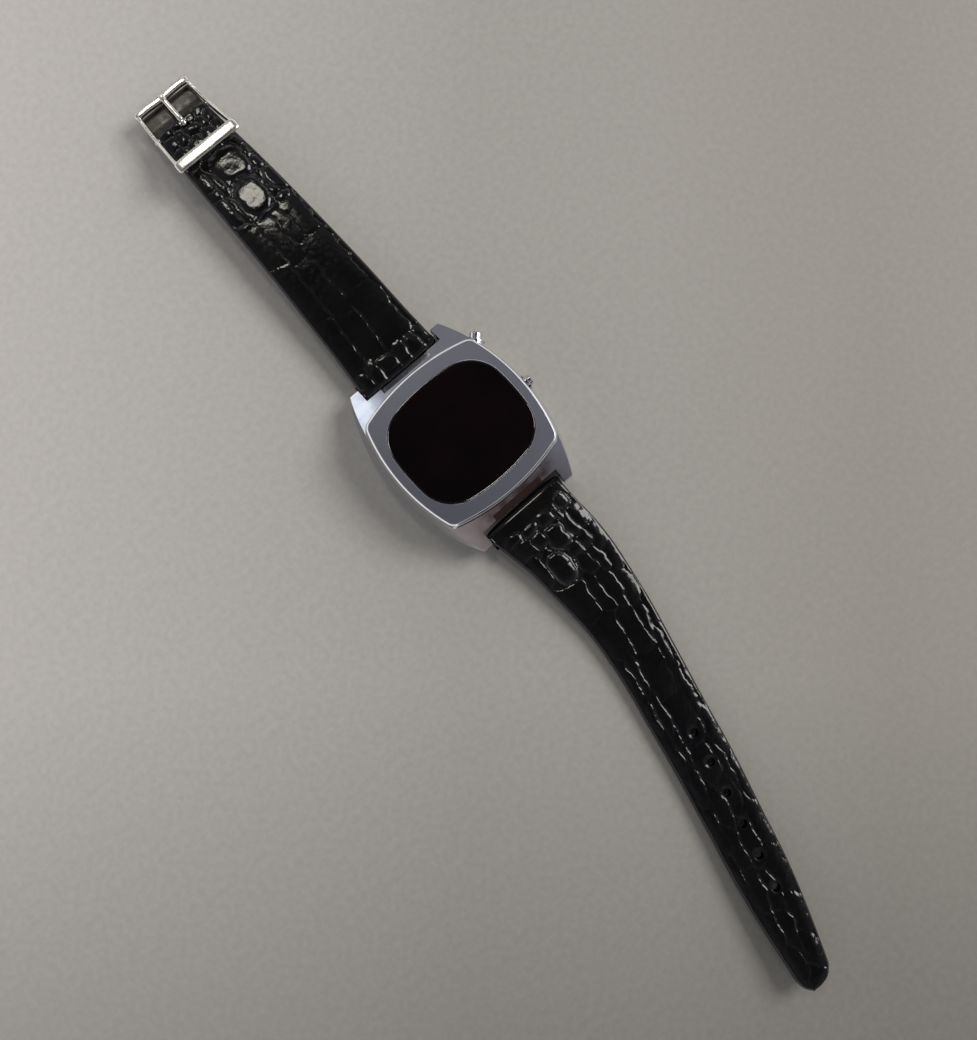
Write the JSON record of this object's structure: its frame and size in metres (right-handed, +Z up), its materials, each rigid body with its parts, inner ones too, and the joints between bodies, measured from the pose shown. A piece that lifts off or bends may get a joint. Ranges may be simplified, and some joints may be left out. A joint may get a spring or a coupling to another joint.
{
  "type": "led wristwatch",
  "caption": "Push-to-light wristwatch with a cushion-shaped dark lens, polished case, tapered black leather strap laid open, and a pin buckle.",
  "frame": {"origin": "centre of the case back, on its outer face", "axes": "+X towards 3 o'clock, +Y towards 12 o'clock, +Z up through the lens"},
  "size_m": [0.0414, 0.2281, 0.0111],
  "materials": {
    "polished_chrome": "mirror polished, fine handling marks",
    "brushed_chrome": "satin face with polished bevels",
    "back_steel": "fine circular brushing",
    "red_lens": "deep red-black, polished",
    "seal_rubber": "matte",
    "frame_plastic": "moulded",
    "board_green": "coated laminate",
    "display_ceramic": "dark ceramic",
    "digit_red": "unlit red dice",
    "clear_cover": "clear red bar",
    "chip_black": "epoxy",
    "gold_contact": "plated",
    "cell_steel": "nickel plated",
    "insulator_film": "thin film",
    "spring_steel": "bright",
    "black_leather": "glossy, crocodile grain",
    "padding_felt": "pressed felt",
    "lining_leather": "smooth, matte",
    "flap_leather": "smooth, glossy"
  },
  "bodies": {
    "watch_head": {"case_body": "polished_chrome", "bezel_plate": "brushed_chrome", "lens": "red_lens", "lens_gasket": "seal_rubber", "case_back": "back_steel", "case_back_gasket": "seal_rubber", "module_frame": "frame_plastic", "circuit_board": "board_green", "display_block": "display_ceramic", "display_digits": "digit_red", "display_cover": "clear_cover", "driver_chip": "chip_black", "quartz_can": "cell_steel", "trimmer_capacitor": "gold_contact", "battery_cell_left": "cell_steel", "battery_cell_right": "cell_steel", "battery_insulator": "insulator_film", "battery_contact": "gold_contact", "module_screws": "cell_steel", "time_switch_leaf": "gold_contact", "set_switch_leaf": "gold_contact", "time_button_tube": "polished_chrome", "time_button_spring": "spring_steel", "set_button_tube": "polished_chrome", "set_button_spring": "spring_steel", "spring_bar_12_tube": "spring_steel", "spring_bar_12_pins": "spring_steel", "spring_bar_12_coil": "spring_steel", "spring_bar_6_tube": "spring_steel", "spring_bar_6_pins": "spring_steel", "spring_bar_6_coil": "spring_steel"},
    "time_button": {"time_button": "polished_chrome", "time_button_seal": "seal_rubber", "time_button_clip": "spring_steel"},
    "set_button": {"set_button": "polished_chrome", "set_button_seal": "seal_rubber", "set_button_clip": "spring_steel"},
    "strap_12": {"strap_12_leather": "black_leather", "strap_12_padding": "padding_felt", "strap_12_lining": "lining_leather", "strap_12_underlay_flap": "flap_leather", "buckle_bar_tube": "spring_steel", "buckle_bar_pins": "spring_steel", "buckle_bar_coil": "spring_steel"},
    "strap_6": {"strap_6_leather": "black_leather", "strap_6_padding": "padding_felt", "strap_6_lining": "lining_leather"},
    "buckle_frame": {"buckle_frame": "polished_chrome"},
    "buckle_tongue": {"buckle_tongue": "polished_chrome"}
  },
  "joints": [
    {"name": "time_button_press", "type": "slide", "parent": "watch_head", "child": "time_button", "axis": [-0.7071, -0.7071, 0], "range_m": [0, 0.0008], "stiffness_N_per_m": 900, "springref_m": -0.0008, "deforming": ["time_button_spring"]},
    {"name": "set_button_press", "type": "slide", "parent": "watch_head", "child": "set_button", "axis": [-1, 0, 0], "range_m": [0, 0.0006], "stiffness_N_per_m": 900, "springref_m": -0.0008, "deforming": ["set_button_spring"]},
    {"name": "strap_12_hinge", "type": "hinge", "parent": "watch_head", "child": "strap_12", "pos_m": [0, 0.0201, 0.003], "axis": [1, 0, 0], "range_deg": [-75, 50]},
    {"name": "strap_6_hinge", "type": "hinge", "parent": "watch_head", "child": "strap_6", "pos_m": [0, -0.0201, 0.003], "axis": [-1, 0, 0], "range_deg": [-75, 50]},
    {"name": "buckle_frame_hinge", "type": "hinge", "parent": "strap_12", "child": "buckle_frame", "pos_m": [0, 0.0894, 0.0048], "axis": [1, 0, 0], "range_deg": [-2, 6]},
    {"name": "buckle_tongue_hinge", "type": "hinge", "parent": "buckle_frame", "child": "buckle_tongue", "pos_m": [0, 0.0894, 0.0048], "axis": [1, 0, 0], "range_deg": [0, 95]}
  ]
}
